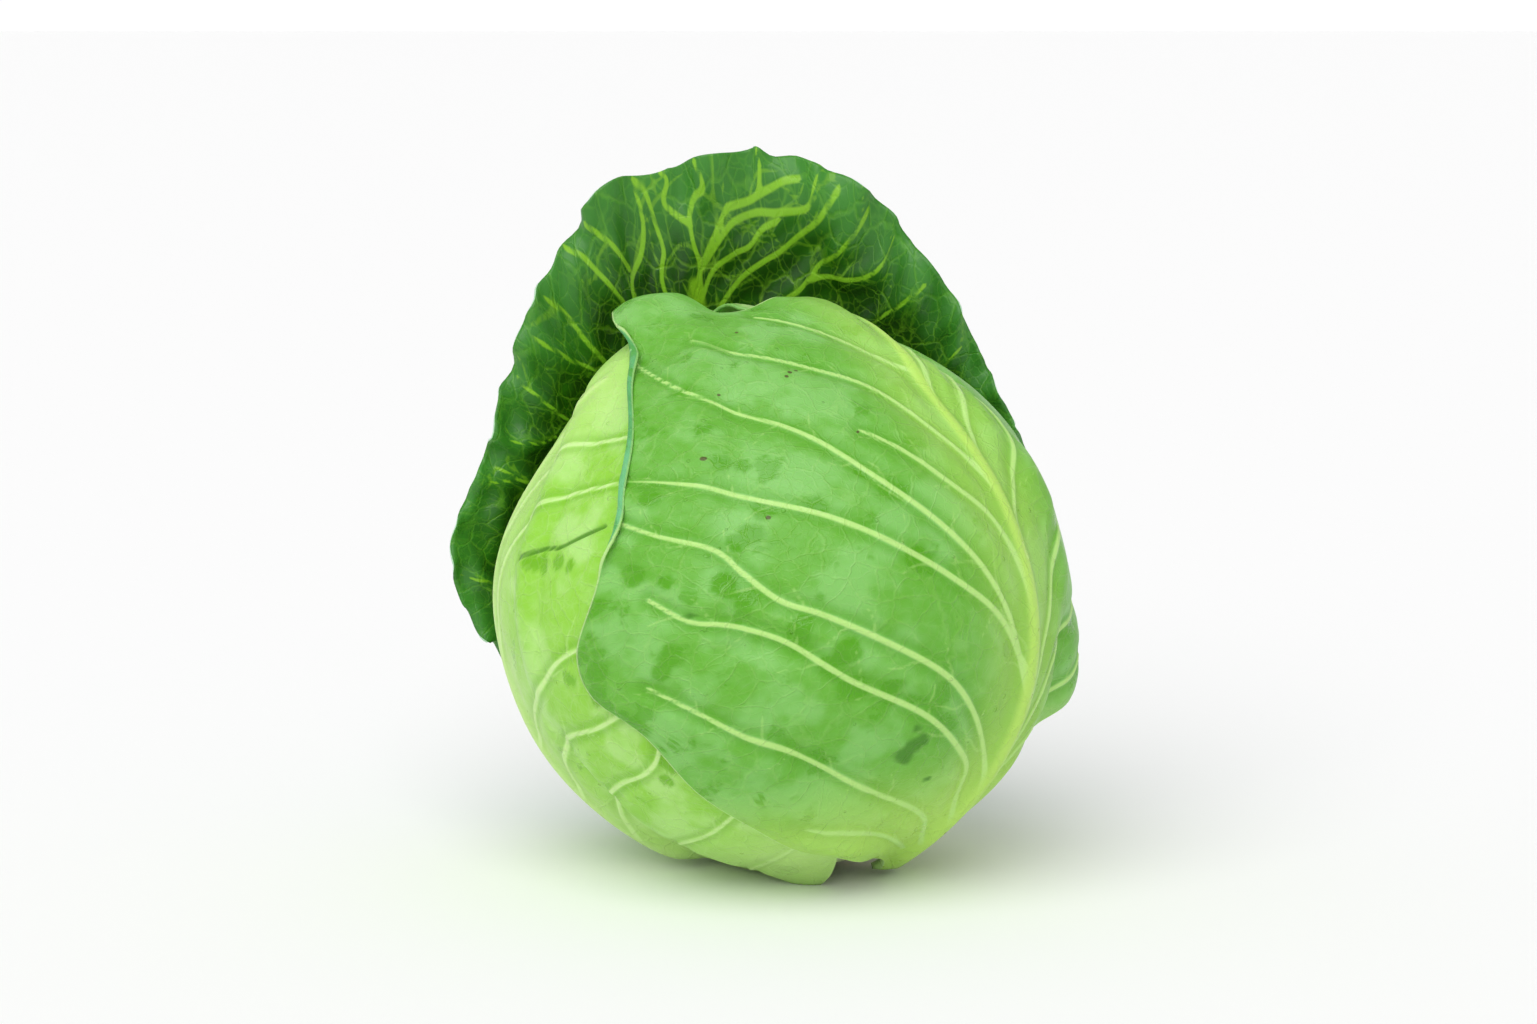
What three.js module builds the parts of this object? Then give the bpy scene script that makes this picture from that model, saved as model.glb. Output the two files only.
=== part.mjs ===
// A head of green cabbage, resting on its base with the axis leaning to the left.
// Millimetres, +Z up, the origin on the surface under the middle of the head, the front towards -Y.
// A round heart of tightly folded leaves grows on a cut stem. Five wrapper leaves lie over it, each on those
// that are under it, and one dark outer leaf stands away from the head behind it.
import * as THREE from "three";
import { mergeVertices } from "three/addons/utils/BufferGeometryUtils.js";

// The head
const HEART_RADIUS = 83.2;
const HEAD_LEAN = 15; // degrees, the crown to the left
const CENTRE_HEIGHT = 86; // from the surface to the middle of the head
const SHOULDER_DIP = 5.5; // the head draws in between its waist and its crown
const SHOULDER_RISE = 136; // degrees from the stem
const SHOULDER_WIDTH = 24; // degrees
const FLANK_DIP = 3.8; // and is a little flatter on its right flank
const FLANK_WIDTH = 0.45; // radians
const STEM_DIP = 5; // the base draws in round the stem
const STEM_DIP_FLOOR = 10; // degrees
const STEM_DIP_EDGE = 15; // degrees
const BASE_STACK = 5; // heart to surface under the middle, the room for the leaves that lie under it
const BASE_ROUND = 4; // rounding where the flat base meets the side
const SOLE_RADIUS = 17; // the lowest leaf is pressed quite flat on the surface this far out
const SOLE_FADE = 30;
const CHART_RADIUS = 88; // turns a flat leaf's millimetres into an angle on the head
const LAYER_GAP = 1; // air between two leaves that lie on each other
const PRESS_RIM = 7; // a leaf bears on the one below it this far past that one's edge
const PRESS_FADE = 24; // and comes down to the next layer over this length
const RIB_CLEAR = 1.5; // a leaf rides over the ribs below it as if they were this much wider
const FLARE_WIDTH = 15; // the outer leaf's rim turns outwards over this width
const FLARE_TURN = 72; // degrees

// The stem
const STEM_RADIUS = 12.5;
const STEM_FACE = 85.2; // from the middle of the head to the cut face
const STEM_ROUND = 1.5;

// Mesh steps
const RIB_FOOT = 1.5; // the rib's foot, in rib widths
const VEIN_FLANK = 0.24; // the foot of a vein's ridge, in spaces between veins
const OUTLINE_SAMPLES = 90;
const HEART_TURNS = 30;
const HEART_RISES = 18;
const STEM_SIDES = 24;

const DEG = Math.PI / 180;
const { cos, sin, exp, hypot, min, max, abs, sqrt, PI } = Math;
const clamp = (x, low = 0, high = 1) => min(high, max(low, x));
const lerp = (a, b, t) => a + (b - a) * t;
const smooth = (low, high, x) => {
  const t = clamp((x - low) / (high - low));
  return t * t * (3 - 2 * t);
};
const hill = (distance, width) => exp(-((distance / width) ** 2));

// Directions on the head: turn goes round the stem's axis from the front, rise goes from the stem to the crown.
const stemward = new THREE.Vector3(sin(HEAD_LEAN * DEG), 0, -cos(HEAD_LEAN * DEG));
const frontward = new THREE.Vector3(0, -1, 0);
const sideward = new THREE.Vector3(cos(HEAD_LEAN * DEG), 0, sin(HEAD_LEAN * DEG));
const flankward = direction(90, 95);
const centre = new THREE.Vector3(0, 0, CENTRE_HEIGHT);

function direction(turn, rise) {
  const around = frontward.clone().multiplyScalar(cos(turn * DEG));
  around.addScaledVector(sideward, sin(turn * DEG));
  return around.multiplyScalar(sin(rise * DEG)).addScaledVector(stemward, cos(rise * DEG));
}

// The heart's surface: nearly round, drawn in at the shoulder and flat where the head stands.
function heartRadius(d) {
  const rise = Math.acos(clamp(d.dot(stemward), -1, 1)) / DEG;
  const flank = FLANK_DIP * hill(d.angleTo(flankward), FLANK_WIDTH);
  const round = HEART_RADIUS - SHOULDER_DIP * hill(rise - SHOULDER_RISE, SHOULDER_WIDTH) - flank;
  if (d.z > -0.5) return round;
  const flat = (CENTRE_HEIGHT - BASE_STACK) / -d.z;
  const share = clamp(0.5 + (flat - round) / (2 * BASE_ROUND));
  return lerp(flat, round, share) - BASE_ROUND * share * (1 - share);
}

// A leaf is drawn flat, in millimetres, on a chart that touches the head at one point.
function chartAt(turn, rise) {
  const out = direction(turn, rise);
  const up = stemward.clone().negate().addScaledVector(out, stemward.dot(out)).normalize();
  const right = up.clone().cross(out);
  return {
    toHead([x, y]) {
      const length = hypot(x, y) || 1e-9;
      const angle = length / CHART_RADIUS;
      const d = out.clone().multiplyScalar(cos(angle));
      return d.addScaledVector(right, (sin(angle) * x) / length).addScaledVector(up, (sin(angle) * y) / length);
    },
    toFlat(d) {
      const x = d.dot(right);
      const y = d.dot(up);
      const scale = (CHART_RADIUS * Math.acos(clamp(d.dot(out), -1, 1))) / (hypot(x, y) || 1e-9);
      return [x * scale, y * scale];
    },
  };
}

// A smooth line through points of the chart, read by its share of the length.
function smoothLine(points) {
  const curve = new THREE.CatmullRomCurve3(points.map(([x, y]) => new THREE.Vector3(x, y, 0)), false, "centripetal");
  curve.arcLengthDivisions = 400;
  return (share) => {
    const p = curve.getPointAt(clamp(share));
    return [p.x, p.y];
  };
}

const between = (a, b, t) => [lerp(a[0], b[0], t), lerp(a[1], b[1], t)];

// How far a point of the chart lies inside a closed outline, negative outside.
function insideBy([x, y], outline) {
  let inside = false;
  let nearest = Infinity;
  outline.forEach(([bx, by], i) => {
    const [ax, ay] = outline[(i || outline.length) - 1];
    if (ay > y !== by > y && x < ((bx - ax) * (y - ay)) / (by - ay) + ax) inside = !inside;
    const along = clamp(((x - ax) * (bx - ax) + (y - ay) * (by - ay)) / ((bx - ax) ** 2 + (by - ay) ** 2 || 1));
    nearest = min(nearest, hypot(x - lerp(ax, bx, along), y - lerp(ay, by, along)));
  });
  return inside ? nearest : -nearest;
}

// The midrib's height over the blade at a point of the chart. Ribs are pressed flat where the head stands.
function ribHeight(leaf, [x, y], spread = 1) {
  let best = Infinity;
  let share = 0;
  leaf.ribPath.forEach(([px, py], i) => {
    const away = hypot(x - px, y - py);
    if (away < best) {
      best = away;
      share = i / (leaf.ribPath.length - 1);
    }
  });
  const free = smooth(-0.97, -0.9, leaf.chart.toHead([x, y]).z);
  return free * lerp(leaf.rib.high, leaf.rib.highAtTip, share ** 0.7) * hill(best, spread * ribWidth(leaf, share));
}

const ribWidth = (leaf, share) => lerp(leaf.rib.wide, leaf.rib.wideAtTip, share ** 0.6);

// The radius on which a leaf lies: the heart, and every leaf below it where that one reaches.
function layerUnder(leaf, d) {
  let radius = heartRadius(d) + LAYER_GAP;
  for (const lower of leaf.over) {
    const flat = lower.chart.toFlat(d);
    const reach = smooth(-PRESS_FADE, -PRESS_RIM, insideBy(flat, lower.outline));
    const thick = lower.blade + max(lower.veinHigh, ribHeight(lower, flat, RIB_CLEAR));
    radius += reach * (thick + LAYER_GAP + (lower.lift ? lower.lift(flat) : 0));
  }
  return radius;
}

// Rows run from the midrib to the margin, one along each side vein. A row is read by its number: 0 is the
// foot of the leaf, 1, 2 and on are the veins, and the last is the line from the end of the rib to the tip.
function rowAt(leaf, row, side, u) {
  const rows = leaf.veins;
  const i = min(rows.length - 2, Math.floor(row));
  const t = row - i;
  const at = (key) => lerp(rows[i][key], rows[i + 1][key], t);
  const foot = leaf.midrib(at(0));
  const end = side < 0 ? leaf.left(at(1)) : leaf.right(at(2));
  const [x, y] = between(foot, end, u);
  const length = hypot(end[0] - foot[0], end[1] - foot[1]) || 1e-9;
  const bow = (side < 0 ? at(3) : at(4)) * u * (1 - u) * 4 * (1 - u * 0.6);
  const across = [(-side * (end[1] - foot[1])) / length, (side * (end[0] - foot[0])) / length];
  return { point: [x + bow * across[0], y + bow * across[1]], length };
}

// The rows at which the mesh has points: the veins, the feet of their ridges and the ends.
function rowNumbers(leaf) {
  const last = leaf.veins.length - 1;
  const rows = [0];
  for (let i = 1; i < last; i++) {
    rows.push(i - VEIN_FLANK, i, i + VEIN_FLANK);
    if (i < last - 1) rows.push(i + 0.5);
  }
  rows.push(last - 0.4, last);
  rows.splice(1, 0, 0.4);
  return rows;
}

// A point of the leaf's inner face. The margin can curl away from the head: over the last curl.width of a
// row, the blade turns outwards on an arc.
function bladePoint(leaf, row, side, u) {
  const { width = 0, turn = 0 } = leaf.curl ? leaf.curl(row, side) : {};
  const from = width ? clamp(1 - width / rowAt(leaf, row, side, u).length, 0.05, 0.999) : 1;
  const past = clamp((u - from) / (1 - from || 1));
  const angle = past * turn * DEG;
  const along = past && turn ? from + ((1 - from) * sin(angle)) / (turn * DEG) : u;
  const { point, length } = rowAt(leaf, row, side, along);
  const d = leaf.chart.toHead(point);
  const radius = layerUnder(leaf, d) + (leaf.lift ? leaf.lift(point) : 0);
  const rise = past && turn ? ((1 - from) * length * (radius / CHART_RADIUS) * (1 - cos(angle))) / (turn * DEG) : 0;
  return { position: d.multiplyScalar(radius + rise).add(centre), point };
}

// A closed leaf: an inner and an outer face on the same rows and columns, joined round the margin.
function leafGeometry(leaf) {
  const rows = rowNumbers(leaf);
  const columns = [];
  for (let c = -leaf.steps - 1; c <= leaf.steps + 1; c++) columns.push(c);
  const inner = rows.map((row) =>
    columns.map((c) => {
      const side = c < 0 ? -1 : 1;
      const length = max(rowAt(leaf, row, side, 0).length, 1);
      const foot = min(0.5, (RIB_FOOT * ribWidth(leaf, row / leaf.veins.length)) / length);
      const steps = max(abs(c) - 1, 0) / leaf.steps;
      const u = c === 0 ? 0 : lerp(foot, 1, steps);
      return { ...bladePoint(leaf, row, side, u), row, side, u };
    }),
  );
  const last = rows.length - 1;
  const wide = columns.length;
  const vertexAt = (r, c) => inner[r][r === last ? max(c, wide - 1 - c) : c];
  const outer = inner.map((line, r) =>
    line.map((_, c) => {
      const v = vertexAt(r, c);
      const east = vertexAt(r, min(c + 1, wide - 1)).position;
      const west = vertexAt(r, max(c - 1, 0)).position;
      const north = vertexAt(min(r + 1, last), c).position;
      const south = vertexAt(max(r - 1, 0), c).position;
      const away = v.position.clone().sub(centre).normalize();
      const normal = east.clone().sub(west).cross(north.clone().sub(south));
      if (r === last || normal.lengthSq() < 1e-6) normal.copy(away);
      normal.normalize();
      if (normal.dot(away) < 0 && !leaf.curl) normal.copy(away);
      const onVein = Number.isInteger(v.row) && v.row > 0 && v.row < leaf.veins.length - 1;
      const vein = onVein ? leaf.veinHigh * sqrt(1 - v.u * 0.8) * smooth(0, 0.04, v.u) * (v.u < 1 ? 1 : 0.3) : 0;
      const thick = leaf.blade + max(vein, ribHeight(leaf, v.point));
      return v.position.clone().addScaledVector(normal, thick);
    }),
  );
  const positions = [];
  const numbered = (table, pressedTo) => {
    const numbers = table.map((line) =>
      line.map(({ x, y, z }) => {
        const pressed = leaf.isSole ? smooth(SOLE_FADE, SOLE_RADIUS, hypot(x, y)) : 0;
        return positions.push(x, y, max(lerp(z, pressedTo, pressed), 0)) / 3 - 1;
      }),
    );
    return (r, c) => numbers[r][r === last ? max(c, wide - 1 - c) : c];
  };
  const low = numbered(inner.map((line) => line.map((v) => v.position)), leaf.blade);
  const high = numbered(outer, 0);
  const faces = [];
  const quad = (a, b, c, d) => faces.push(a, b, c, a, c, d);
  for (let r = 0; r < last; r++) {
    for (let c = 0; c < wide - 1; c++) {
      const step = c < wide / 2 - 1 ? [r, c, r, c + 1, r + 1, c + 1, r + 1, c] : [r, c + 1, r + 1, c + 1, r + 1, c, r, c];
      const [i1, j1, i2, j2, i3, j3, i4, j4] = step;
      quad(high(i1, j1), high(i2, j2), high(i3, j3), high(i4, j4));
      quad(low(i3, j3), low(i2, j2), low(i1, j1), low(i4, j4));
    }
    quad(low(r, 0), high(r, 0), high(r + 1, 0), low(r + 1, 0));
    quad(high(r, wide - 1), low(r, wide - 1), low(r + 1, wide - 1), high(r + 1, wide - 1));
  }
  for (let c = 0; c < wide - 1; c++) quad(low(0, c), low(0, c + 1), high(0, c + 1), high(0, c));
  const geometry = new THREE.BufferGeometry();
  geometry.setAttribute("position", new THREE.Float32BufferAttribute(positions, 3));
  geometry.setIndex(faces);
  return geometry;
}

// Finishes a leaf's drawing: its chart, its smooth outline and the leaves that it lies over.
const laid = [];
function layLeaf(drawing) {
  const leaf = { ...drawing, chart: chartAt(drawing.turn, drawing.rise ?? 95), over: [...laid] };
  leaf.midrib = smoothLine(drawing.midribPoints);
  leaf.left = smoothLine(drawing.leftPoints);
  leaf.right = smoothLine(drawing.rightPoints);
  const shares = Array.from({ length: OUTLINE_SAMPLES + 1 }, (_, i) => i / OUTLINE_SAMPLES);
  leaf.outline = [...shares.map(leaf.left), ...shares.slice(0, -1).reverse().map(leaf.right)];
  leaf.ribPath = shares.map(leaf.midrib);
  laid.push(leaf);
  return leaf;
}

// Side veins: share of the midrib, share of the left margin, share of the right margin, and the bow of each.
const plainVeins = [
  [0, 0, 0, 0, 0],
  [0.12, 0.16, 0.16, 0, 0],
  [0.2, 0.3, 0.3, 3, 3],
  [0.29, 0.43, 0.43, 5, 5],
  [0.4, 0.55, 0.55, 6, 6],
  [0.53, 0.67, 0.67, 5, 5],
  [0.68, 0.79, 0.79, 4, 4],
  [0.84, 0.9, 0.9, 2, 2],
  [1, 1, 1, 0, 0],
];

// A broad round leaf, for the wrappers that lie mostly under others.
function roundLeaf(half, tip) {
  const side = (s) => [
    [s * 8, -131],
    [s * 19, -116],
    [s * 0.55 * half, -92],
    [s * 0.86 * half, -52],
    [s * half, -5],
    [s * 0.95 * half, 40],
    [s * 0.74 * half, 80],
    [s * 0.4 * half, tip - 14],
    [0, tip],
  ];
  return {
    midribPoints: [[0, -130], [0, -60], [0, 10], [0, tip - 22]],
    leftPoints: side(-1),
    rightPoints: side(1),
    veins: plainVeins,
  };
}

const wrapperRib = { high: 3.4, highAtTip: 0.6, wide: 9, wideAtTip: 2.2 };
const coveredRib = { high: 1.4, highAtTip: 0.4, wide: 8, wideAtTip: 3 };

const plainBlade = { blade: 1.6, veinHigh: 0.6, steps: 6 };
const crownLeaf = layLeaf({ name: "leaf_crown", turn: 4, rib: coveredRib, ...plainBlade, ...roundLeaf(96, 146) });
const rearLeftLeaf = layLeaf({ name: "leaf_rear_left", turn: -134, rib: wrapperRib, ...plainBlade, ...roundLeaf(104, 124) });
const rearRightLeaf = layLeaf({ name: "leaf_rear_right", turn: 142, rib: wrapperRib, ...plainBlade, ...roundLeaf(108, 120) });

const leftLeaf = layLeaf({
  name: "leaf_left",
  turn: -86,
  isSole: true,
  ...plainBlade,
  rib: { high: 4.2, highAtTip: 0.8, wide: 9, wideAtTip: 3 },
  midribPoints: [[2, -129], [6, -110], [9, -80], [8, -40], [3, 0], [-2, 30], [-3, 55], [5, 75], [20, 92]],
  leftPoints: [[-9, -131], [-22, -112], [-50, -85], [-78, -50], [-95, -10], [-98, 28], [-86, 66], [-58, 98], [-14, 118], [30, 116]],
  rightPoints: [
    [14, -132],
    [34, -124],
    [58, -121],
    [80, -110],
    [95, -90],
    [104, -62],
    [108, -26],
    [106, 12],
    [98, 48],
    [82, 80],
    [58, 104],
    [30, 116],
  ],
  veins: plainVeins,
  // The edge of the blade under the head hangs a little away from it and bears on the surface, and the
  // blade bulges along its rib.
  lift: ([x, y]) => 4 * hill(hypot((x - 40) / 1.5, y + 126), 14) + 3 * hill(hypot(x - 5, (y - 36) / 2.3), 28),
});

const frontLeaf = layLeaf({
  name: "leaf_front",
  turn: 53,
  blade: 1.7,
  veinHigh: 0.9,
  steps: 10,
  rib: { high: 4.6, highAtTip: 0.8, wide: 8, wideAtTip: 2.4 },
  midribPoints: [[-12, -131], [-19, -118], [-19, -100], [-12, -80], [-4, -50], [0, -20], [1, 10], [5, 40], [16, 68], [32, 96]],
  leftPoints: [
    [-21, -130],
    [-29, -114],
    [-36, -104],
    [-46, -105],
    [-60, -99],
    [-79, -91],
    [-95, -78],
    [-116, -57],
    [-132, -27],
    [-147, -6],
    [-147, 14],
    [-131, 38],
    [-119, 60],
    [-109, 79],
    [-92, 101],
    [-70, 125],
    [-47, 140],
    [-32, 147],
    [-18, 153],
    [-9, 147],
    [-8, 135],
    [-1, 124],
    [20, 115],
    [46, 124],
  ],
  rightPoints: [
    [-2, -131],
    [-9, -114],
    [-6, -99],
    [7, -89],
    [24, -74],
    [40, -60],
    [52, -47],
    [74, -30],
    [98, -2],
    [110, 38],
    [104, 74],
    [86, 104],
    [46, 124],
  ],
  veins: [
    [0, 0, 0, 0, 0],
    [0.12, 0.1, 0.1, 0, 0],
    [0.2, 0.36, 0.22, -3, 2],
    [0.245, 0.46, 0.32, 4, 3],
    [0.3, 0.52, 0.42, 2, 4],
    [0.39, 0.58, 0.55, 6, 5],
    [0.47, 0.72, 0.66, -10, 6],
    [0.62, 0.82, 0.77, -6, 5],
    [0.78, 0.89, 0.88, -4, 3],
    [1, 1, 1, 0, 0],
  ],
  lift: ([x, y]) => {
    const collar = 8 * hill(hypot(x + 22, y - 150), 18) + 1.5 * hill(hypot(x + 108, (y - 70) / 2.2), 14);
    return collar + 5 * hill(hypot(x - 42, (y + 62) / 1.2), 15);
  },
});

const outerLeaf = layLeaf({
  name: "leaf_outer",
  turn: 190,
  blade: 1.8,
  veinHigh: 0.9,
  steps: 7,
  rib: { high: 5, highAtTip: 1, wide: 9, wideAtTip: 3 },
  midribPoints: [[0, -129], [2, -90], [2, -40], [0, 10], [-3, 50], [-8, 80]],
  leftPoints: [
    [-6, -131],
    [-13, -114],
    [-42, -88],
    [-82, -60],
    [-104, -22],
    [-109, 8],
    [-101, 39],
    [-89, 64],
    [-73, 80],
    [-56, 91],
    [-34, 97],
    [-4, 100],
  ],
  rightPoints: [
    [6, -131],
    [13, -112],
    [46, -88],
    [66, -58],
    [88, -24],
    [106, 6],
    [103, 35],
    [83, 63],
    [65, 82],
    [46, 91],
    [24, 97],
    [-4, 100],
  ],
  veins: plainVeins,
  // The rim flares outwards, more and less in turn where the veins meet it.
  curl: (row) => ({ width: FLARE_WIDTH, turn: (FLARE_TURN + 16 * cos(2 * PI * row)) * smooth(1.5, 3.5, row) }),
  lift: ([x, y]) => {
    const away = 1.5 + 47 * clamp(y / 97) ** 3;
    return away - 9.5 * hill(hypot((x - 50) / 1.4, y - 86), 28) + 7 * hill(hypot(x - 101, (y - 34) / 1.1), 22);
  },
});

// The heart, with the edges of its folded leaves as low steps.
function heartGeometry() {
  const sphere = new THREE.SphereGeometry(1, HEART_TURNS, HEART_RISES);
  sphere.deleteAttribute("normal");
  sphere.deleteAttribute("uv");
  const geometry = mergeVertices(sphere, 1e-4);
  const place = geometry.attributes.position;
  const lay = new THREE.Quaternion().setFromUnitVectors(new THREE.Vector3(0, -1, 0), stemward);
  for (let i = 0; i < place.count; i++) {
    const d = new THREE.Vector3().fromBufferAttribute(place, i).applyQuaternion(lay).normalize();
    const dip = STEM_DIP * smooth(STEM_DIP_EDGE, STEM_DIP_FLOOR, d.angleTo(stemward) / DEG);
    const p = d.clone().multiplyScalar(heartRadius(d) - dip).add(centre);
    place.setXYZ(i, p.x, p.y, p.z);
  }
  return geometry;
}

// The stem's stub, cut across.
function stemGeometry() {
  const top = heartRadius(stemward) - STEM_DIP + LAYER_GAP;
  const profile = [
    [0, top],
    [STEM_RADIUS, top],
    [STEM_RADIUS, STEM_FACE - STEM_ROUND],
    [STEM_RADIUS - STEM_ROUND, STEM_FACE],
    [0, STEM_FACE],
  ].map(([r, h]) => new THREE.Vector2(r, h));
  const geometry = new THREE.LatheGeometry(profile, STEM_SIDES);
  geometry.applyQuaternion(new THREE.Quaternion().setFromUnitVectors(new THREE.Vector3(0, 1, 0), stemward));
  return geometry.translate(centre.x, centre.y, centre.z);
}

const finish = (color, roughness) => new THREE.MeshStandardMaterial({ color, roughness, metalness: 0 });
const cabbage = new THREE.Group();
function add(name, geometry, material) {
  const mesh = new THREE.Mesh(geometry, material);
  mesh.name = name;
  cabbage.add(mesh);
}

const paleGreen = finish(0xb4d98a, 0.5);
const leafGreen = finish(0x84c25f, 0.45);
const darkGreen = finish(0x3f8020, 0.45);
add("heart", heartGeometry(), finish(0xdbe8b0, 0.5));
add("stem", stemGeometry(), finish(0xd3d8a4, 0.7));
for (const leaf of [crownLeaf, rearLeftLeaf, rearRightLeaf, leftLeaf]) add(leaf.name, leafGeometry(leaf), paleGreen);
add(frontLeaf.name, leafGeometry(frontLeaf), leafGreen);
add(outerLeaf.name, leafGeometry(outerLeaf), darkGreen);

export default cabbage;
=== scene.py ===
import math

import bmesh
import bpy
import numpy as np
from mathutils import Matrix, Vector


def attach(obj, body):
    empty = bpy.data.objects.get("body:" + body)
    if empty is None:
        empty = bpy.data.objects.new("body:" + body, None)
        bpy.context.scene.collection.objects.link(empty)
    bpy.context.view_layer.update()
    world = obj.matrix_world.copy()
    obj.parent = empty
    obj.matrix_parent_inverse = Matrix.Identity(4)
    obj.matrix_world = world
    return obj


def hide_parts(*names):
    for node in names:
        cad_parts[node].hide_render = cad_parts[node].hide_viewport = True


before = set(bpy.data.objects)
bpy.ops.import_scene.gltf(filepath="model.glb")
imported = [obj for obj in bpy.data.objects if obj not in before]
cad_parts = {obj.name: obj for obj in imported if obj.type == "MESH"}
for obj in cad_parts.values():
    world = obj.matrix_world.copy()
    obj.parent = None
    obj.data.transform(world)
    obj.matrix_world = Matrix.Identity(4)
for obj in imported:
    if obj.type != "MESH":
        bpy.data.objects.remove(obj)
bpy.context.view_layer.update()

# Camera: a little above the middle of the head, looking down by eight degrees, with a long lens. It is moved
# sideways and up, in metres, until the head stands in the picture where the photo has it.
CAMERA_TILT = math.radians(8)
CAMERA_DISTANCE = 1.1
CAMERA_ASIDE, CAMERA_UP = -0.0067, 0.0242
CAMERA_LENS, CAMERA_SENSOR = 82.7, 36
CAMERA_SIGHT = 200
HEAD_MIDDLE = np.array([0, 0, 0.086])
lens_down = np.array([0, math.cos(CAMERA_TILT), -math.sin(CAMERA_TILT)])
lens_up = np.array([0, math.sin(CAMERA_TILT), math.cos(CAMERA_TILT)])
camera = bpy.data.objects.new("camera", bpy.data.cameras.new("camera"))
camera.data.lens = CAMERA_LENS
camera.data.sensor_width = CAMERA_SENSOR
camera.data.clip_end = CAMERA_SIGHT
aim = HEAD_MIDDLE + [CAMERA_ASIDE, 0, 0] + CAMERA_UP * lens_up
camera.location = aim - CAMERA_DISTANCE * lens_down
camera.rotation_euler = (math.pi / 2 - CAMERA_TILT, 0, 0)
bpy.context.collection.objects.link(camera)
bpy.context.scene.camera = camera
bpy.context.scene.view_settings.view_transform = "Standard"


# Floor: a plain near-white surface, matt like board. It runs far past the frame, so that it meets the pale
# air without an edge.
def add_node(tree, kind, inputs=None, **settings):
    """Adds a node, sets what it is given, and links the inputs that are nodes or sockets."""
    made = tree.nodes.new(kind)
    for key, value in settings.items():
        setattr(made, key, value)
    for key, value in (inputs or {}).items():
        if isinstance(value, bpy.types.Node):
            value = next(s for s in value.outputs if s.enabled)
        if isinstance(value, bpy.types.NodeSocket):
            tree.links.new(value, made.inputs[key])
        else:
            made.inputs[key].default_value = value
    return made


def linear(code):
    """An sRGB hex colour as linear RGBA."""
    parts = [int(code[i : i + 2], 16) / 255 for i in (1, 3, 5)]
    return [p / 12.92 if p <= 0.04045 else ((p + 0.055) / 1.055) ** 2.4 for p in parts] + [1]


def new_material(name):
    """A material with only an output and a principled shader, which are returned with its tree."""
    material = bpy.data.materials.new(name)
    material.use_nodes = True
    tree = material.node_tree
    tree.nodes.clear()
    shader = add_node(tree, "ShaderNodeBsdfPrincipled")
    add_node(tree, "ShaderNodeOutputMaterial", {"Surface": shader})
    return material, tree, shader


FLOOR_HALF = 60
bm = bmesh.new()
bmesh.ops.create_grid(bm, x_segments=1, y_segments=1, size=FLOOR_HALF)
floor = bpy.data.objects.new("floor", bpy.data.meshes.new("floor"))
bm.to_mesh(floor.data)
bm.free()
bpy.context.collection.objects.link(floor)
matt_board, _, shader = new_material("matt white board")
shader.inputs["Base Color"].default_value = linear("#F7F7F7")
shader.inputs["Roughness"].default_value = 0.9
shader.inputs["Specular IOR Level"].default_value = 0.1
floor.data.materials.append(matt_board)

# Light: pale studio air, brightest round the horizon as in a white cove, and one very soft source high over
# the front left. A sun lamp stands for it, so that the whole surface is lit evenly.
AIR_LOW, AIR_HIGH = 0.02, 0.25
AIR_LOW_STRENGTH, AIR_HIGH_STRENGTH = 1.02, 0.56
KEY_STRENGTH, KEY_WIDTH = 2.0, 60
KEY_TILT, KEY_TURN = 40, -18
world = bpy.data.worlds.new("studio air")
bpy.context.scene.world = world
world.use_nodes = True
sky = world.node_tree
sight = add_node(sky, "ShaderNodeTexCoord").outputs["Generated"]
height = add_node(sky, "ShaderNodeSeparateXYZ", {0: sight}).outputs["Z"]
steps = {"Value": height, 1: AIR_LOW, 2: AIR_HIGH, 3: AIR_LOW_STRENGTH, 4: AIR_HIGH_STRENGTH}
glow = add_node(sky, "ShaderNodeMapRange", steps)
sky.nodes["Background"].inputs["Color"].default_value = (1, 1, 1, 1)
sky.links.new(glow.outputs[0], sky.nodes["Background"].inputs["Strength"])
key = bpy.data.objects.new("key", bpy.data.lights.new("key", "SUN"))
key.data.energy = KEY_STRENGTH
key.data.angle = math.radians(KEY_WIDTH)
key.rotation_euler = (math.radians(KEY_TILT), 0, math.radians(KEY_TURN))
bpy.context.collection.objects.link(key)

# Heart: the dense ball of leaves folded over each other. Almost all of it is covered by the wrappers.
# Its surface is what every leaf lies on, so the forms here are those of the whole head.
HEART_RADIUS = 83.2
HEAD_LEAN = math.radians(15)
CENTRE_HEIGHT = 86
SHOULDER_DIP, SHOULDER_RISE, SHOULDER_WIDTH = 5.5, 136, 24
FLANK_DIP, FLANK_WIDTH = 3.8, 0.45
BASE_STACK = 5
BASE_ROUND = 4
STEM_DIP, STEM_DIP_FLOOR, STEM_DIP_EDGE = 5, 10, 15
FOLD_TURN, FOLD_TWIST = 137.5, 1.4
FOLD_EDGE, FOLD_STEP = 0.9, 0.7
HEART_NET_SCALE = 90.0  # cells to a metre, so 11 mm each
STEMWARD = np.array([math.sin(HEAD_LEAN), 0, -math.cos(HEAD_LEAN)])
FRONTWARD = np.array([0.0, -1, 0])
SIDEWARD = np.array([math.cos(HEAD_LEAN), 0, math.sin(HEAD_LEAN)])
FLANKWARD = math.sin(math.radians(95)) * SIDEWARD + math.cos(math.radians(95)) * STEMWARD
MIDDLE = np.array([0, 0, CENTRE_HEIGHT])
MM = 0.001


def smooth(low, high, x):
    """A smooth step from 0 at low to 1 at high."""
    t = np.clip((x - low) / (high - low), 0, 1)
    return t * t * (3 - 2 * t)


def hill(distance, width):
    """A soft bump: 1 at no distance, fading over its width."""
    return np.exp(-((distance / width) ** 2))


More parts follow.
